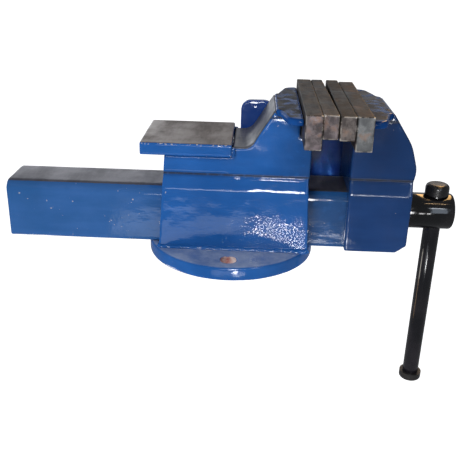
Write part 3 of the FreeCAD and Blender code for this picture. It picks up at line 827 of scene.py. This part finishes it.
jawBar = {"edge": 0.8 * mm, "screwY": (-66 * mm, 0, 66 * mm), "pocket": 8.4 * mm, "pocketDepth": 9 * mm,
          "pocketOver": 5 * mm, "grain": 0.85 * mm, "dent": 0.35 * mm, "dentSize": 12 * mm, "slit": 0.15 * mm,
          "rubbedGlintEnd": (2 * mm, 5 * mm)}


def makeBar(node, side, body, finish, farGap=0.0, nearShort=0.0, farShort=0.0):
    v = jawBar
    low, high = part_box(node)
    low.y += nearShort
    high.y -= farShort
    if farGap:
        # a slit is left between the plate and the block behind it
        low.x, high.x = (low.x + v["slit"], high.x) if side < 0 else (low.x, high.x - v["slit"])
    bar = addBlock(node + "_steel", low, high)
    if farGap:
        # the gripping face stands back a little at the far end
        grip = high.x if side < 0 else low.x
        cut(bar, (grip, low.y, low.z), (-side * (high.y - low.y), farGap, 0))
        for y in v["screwY"]:
            z = (low.z + high.z) / 2
            cutAway(bar, addRound("pocket", v["pocket"], (jawX(side, -v["pocketOver"]), y, z),
                                  (jawX(side, v["pocketDepth"]), y, z), "X"))
    easeEdges(bar, v["edge"], segments=2, angle=50)
    dip(bar, v["grain"], v["dent"], v["dentSize"], seed=7.0 + low.x * 50, rounds=1)
    # marks the end faces that are painted lighter as if lit
    markVertices(bar, "litEnds", lambda place, normal: fade(abs(normal.y), 0.6, 0.9))
    # edges near the bar ends get pale dashes of rubbed steel and painted glint
    markVertices(bar, "rubbed", lambda place, normal:
                 1 - fade(min(place.y - low.y, high.y - place.y), *v["rubbedGlintEnd"]))
    paint(bar, finish)
    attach(bar, body)
    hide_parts(node)
    print(node + ":", len(bar.data.polygons), "faces")


# screw head, handle and knobs

headValues = {"frontEdge": 3.2 * mm, "frontSteps": 5, "edge": 0.9 * mm, "hole": 10.5 * mm,
              "holeHalf": 40 * mm, "shaftSocket": 15 * mm, "sides": 128, "holeSides": 96}


def roundRim(piece, axis, level, width, steps):
    # rounds the ring of edges that lies at one level of the x, y or z axis
    column = "xyz".index(axis)
    makeActive(piece)
    bpy.ops.object.mode_set(mode="EDIT")
    mesh = bmesh.from_edit_mesh(piece.data)
    for edge in mesh.edges:
        edge.select_set(all(abs(corner.co[column] - level) < 0.01 * mm for corner in edge.verts))
    bmesh.update_edit_mesh(piece.data)
    bpy.ops.mesh.bevel(offset=width, segments=steps)
    bpy.ops.object.mode_set(mode="OBJECT")


def makeHead():
    v = headValues
    middle = (headLow.z + headHigh.z) / 2
    head = addRound("screw_head_boss", headHigh.y, (headLow.x, 0, middle), (headHigh.x, 0, middle), "X",
                    v["sides"])
    roundRim(head, "x", headHigh.x, v["frontEdge"], v["frontSteps"])
    barX = (barLow.x + barHigh.x) / 2
    cutAway(head, addRound("crossHole", v["hole"], (barX, 0, middle - v["holeHalf"]),
                           (barX, 0, middle + v["holeHalf"]), "Z", v["holeSides"]))
    cutAway(head, addRound("shaftSocket", v["shaftSocket"], (headLow.x - overrun, 0, middle),
                           (shaftHigh.x, 0, middle), "X", v["holeSides"]))
    easeEdges(head, v["edge"], segments=3, angle=40)
    shadeSmooth(head, angle=30)
    paint(head, "black")
    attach(head, screwBody)
    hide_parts("screw_head")
    print("screw head:", len(head.data.polygons), "faces")


handle = {"sides": 96, "edge": 1 * mm, "knobRadius": 14 * mm, "topDome": 5 * mm, "topRim": 1.2 * mm,
          "lowDome": 3 * mm, "lowRim": 1.3 * mm, "domeSteps": 8, "rimSteps": 3}


def makeHandle():
    v = handle
    x = (barLow.x + barHigh.x) / 2
    radius = (barHigh.y - barLow.y) / 2
    rod = addRound("handle_bar_rod", radius, (x, 0, barLow.z), (x, 0, barHigh.z), "Z", v["sides"])
    easeEdges(rod, v["edge"], angle=50)
    shadeSmooth(rod, angle=30)
    paint(rod, "rod")
    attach(rod, handleBody)
    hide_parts("handle_bar")
    makeKnob("handle_knob_top", True, v["topDome"], v["topRim"], x, radius)
    makeKnob("handle_knob_bottom", False, v["lowDome"], v["lowRim"], x, radius)
    print("handle done")


def makeKnob(node, top, dome, rim, x, barRadius):
    # the outer end is domed, the end on the bar's side only eased
    v = handle
    low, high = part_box(node)
    outerZ, innerZ = (high.z, low.z) if top else (low.z, high.z)
    socket = (low.z - overrun, barHigh.z) if top else (barLow.z, high.z + overrun)
    knob = addRound(node + "_cap", v["knobRadius"], (x, 0, low.z), (x, 0, high.z), "Z", v["sides"])
    roundRim(knob, "z", outerZ, dome, v["domeSteps"])
    roundRim(knob, "z", innerZ, rim, v["rimSteps"])
    cutAway(knob, addRound("socket", barRadius, (x, 0, socket[0]), (x, 0, socket[1]), "Z", v["sides"]))
    shadeSmooth(knob, angle=30)
    paint(knob, "knob")
    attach(knob, handleBody)
    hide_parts(node)


hiddenFinish = {
    "fixed_jaw_screws": "knob", "screw_nut": "bronze", "nut_bolts": "knob", "moving_jaw_screws": "knob",
    "screw_bush": "bronze", "screw_shaft": "turned", "thrust_washer": "turned",
    "spring_washer": "turned", "retaining_collar": "turned", "collar_pin": "turned",
}
for node, finish in hiddenFinish.items():
    paint(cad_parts[node], finish)
makeFixedCasting()
makeFoot()
makeSlide()
makeMovingCasting()
makeCarrier(-1, fixedBody, "fixed_jaw_carrier")
makeCarrier(1, movingBody, "moving_jaw_carrier")
makeSidePlate()
makeWelds()
makeAnvil()
makeBar("fixed_jaw_block", -1, fixedBody, "fixedBar")
makeBar("fixed_jaw_plate", -1, fixedBody, "fixedBar", farGap=2.6 * mm, nearShort=4 * mm)
makeBar("moving_jaw_block", 1, movingBody, "greyBar", farShort=9 * mm)
makeBar("moving_jaw_plate", 1, movingBody, "movingBar", farGap=1.6 * mm)
makeHead()
makeHandle()


# camera, light and stage

camera = {"place": (0.0235, -0.7746, 0.3485), "down": 22.95, "left": 1.85, "roll": 1.46, "lens": 53.02}


stage = {"floorSize": 20, "floorDrop": 0.35, "surroundRadius": 9, "glow": 0.95, "skyGlow": 0.25,
         "skyColour": (0.93, 0.96, 1, 1)}


def setCamera():
    deselectAll()
    bpy.ops.object.camera_add(location=camera["place"])
    cam = bpy.context.object
    aim = Euler((math.radians(90 - camera["down"]), 0, math.radians(camera["left"]))).to_matrix()
    cam.rotation_euler = (aim @ Matrix.Rotation(math.radians(camera["roll"]), 3, "Z")).to_euler()
    cam.data.lens = camera["lens"]
    cam.data.sensor_width = 36
    cam.data.clip_start = 0.01
    bpy.context.scene.camera = cam


def addLight(name, place, aim, size, glow, colour=(1, 1, 1)):
    # glow is how bright the card itself looks
    deselectAll()
    bpy.ops.object.light_add(type="AREA", location=place)
    light = bpy.context.object
    light.name = name
    light.rotation_euler = (Vector(aim) - Vector(place)).to_track_quat("-Z", "Y").to_euler()
    light.data.shape = "RECTANGLE"
    light.data.size, light.data.size_y = size
    light.data.energy = glow * math.pi * size[0] * size[1]
    light.data.color = colour
    light.visible_camera = False
    return light


cards = {
    # name: place, what it faces, size, glow, colour, seen by the paint's colour, seen in the gloss
    "keySoftbox": ((-0.75, -1.2, 1.05), (0, 0, 0.08), (0.8, 0.8), 9.0, (1, 1, 1), True, False),
    "leftSheen": ((-0.12, -0.78, -0.30), (-0.03, 0, 0.05), (0.34, 0.12), 1.5, (0.85, 0.93, 1), False, True),
    "shoulderStrip": ((0.13, -1.5, 0.10), (0.13, 0, 0.09), (0.24, 0.34), 34.0, (1, 1, 1), False, True),
    "shoulderFaint": ((-0.15, -1.5, 0.02), (0, 0, 0.09), (0.32, 0.14), 6.0, (1, 1, 1), False, True),
    "jawGlint": ((0.40, -1.5, 0.02), (0.14, 0, 0.09), (0.07, 0.22), 13.0, (1, 1, 1), False, True),
    "jawSpot": ((0.53, -1.5, 0.02), (0.19, 0, 0.09), (0.03, 0.22), 20.0, (1, 1, 1), False, True),
    "creaseStrip": ((0.105, -1.4, 0.80), (0.05, 0, 0.09), (0.12, 0.12), 45.0, (1, 1, 1), False, True),
    "lowCard": ((0.09, -0.66, -0.255), (0.09, -0.05, 0.04), (0.07, 0.032), 75.0, (1, 1, 1), False, True),
    "slideCard": ((0.19, -0.66, -0.268), (0.11, -0.03, 0.03), (0.05, 0.022), 14.0, (1, 1, 1), False, True),
    "backCard": ((0.0, 2.0, 0.95), (0, 0, 0.1), (2.6, 0.7), 0.52, (0.93, 0.96, 1), False, True),
    "slopeCard": ((-0.75, 1.9, 0.32), (0.03, 0, 0.15), (0.9, 0.45), 1.9, (0.95, 0.97, 1), False, True),
    "warmCeiling": ((0.50, 0.40, 0.80), (0.50, 0, 0.056), (0.15, 0.95), 11.0, (1.0, 0.58, 0.22), False, True),
    "warmLine": ((0.456, -0.35, 0.776), (0.456, 0, 0.056), (0.2, 0.03), 18.0, (1.0, 0.66, 0.34), False, True),
    "coolBand": ((0.465, -0.68, 0.30), (0.465, 0, 0.056), (0.15, 0.42), 3.4, (0.72, 0.84, 1.0), False, True),
    "coolEdge": ((0.465, -0.66, 0.50), (0.465, 0, 0.056), (0.15, 0.06), 10.0, (0.9, 0.95, 1.0), False, True),
    "barStreak": ((-0.32, -0.03, -0.23), (0.245, 0, 0), (0.12, 0.10), 8.0, (0.9, 0.84, 0.74), False, True),
    "barWarm": ((-0.32, -0.02, -0.36), (0.245, 0, -0.1), (0.05, 0.14), 5.0, (1.0, 0.62, 0.3), False, True),
}


def setStage():
    f = Finish("paleStage")
    tone = f.mix(f.noise(1.5, 2.0), (0.88, 0.88, 0.88), (0.9, 0.9, 0.9))
    pale = f.close(f.surface(Base_Color=tone, Roughness=0.9, Emission_Color=(1, 1, 1, 1),
                             Emission_Strength=stage["glow"]))
    deselectAll()
    floorZ = cadBounds[0].z - stage["floorDrop"]
    bpy.ops.mesh.primitive_plane_add(size=stage["floorSize"], location=(0, 0, floorZ))
    floor = bpy.context.object
    floor.name = "floor"
    bpy.ops.mesh.primitive_uv_sphere_add(segments=48, ring_count=24, radius=stage["surroundRadius"])
    surround = bpy.context.object
    surround.name = "surround"
    surround.visible_diffuse = False
    for sheet in (floor, surround):
        sheet.data.materials.append(pale)
        sheet.visible_glossy = False
        sheet.visible_shadow = False
    world = bpy.data.worlds.new("studio")
    bpy.context.scene.world = world
    world.use_nodes = True
    sky = world.node_tree.nodes["Background"].inputs
    sky["Color"].default_value = stage["skyColour"]
    sky["Strength"].default_value = stage["skyGlow"]
    for name, (place, aim, size, glow, colour, inPaint, inGloss) in cards.items():
        light = addLight(name, place, aim, size, glow, colour)
        light.visible_diffuse = inPaint
        light.visible_glossy = inGloss
    # a narrow beam fills the shaded throat between the jaws
    beam = addLight("throatFill", (0.03, -0.72, 0.33), (closingX, 0.03, 0.098), (0.03, 0.025), 2.6)
    beam.data.spread = 0.06
    beam.visible_glossy = False
    bpy.context.scene.view_settings.view_transform = "Standard"


setCamera()
setStage()
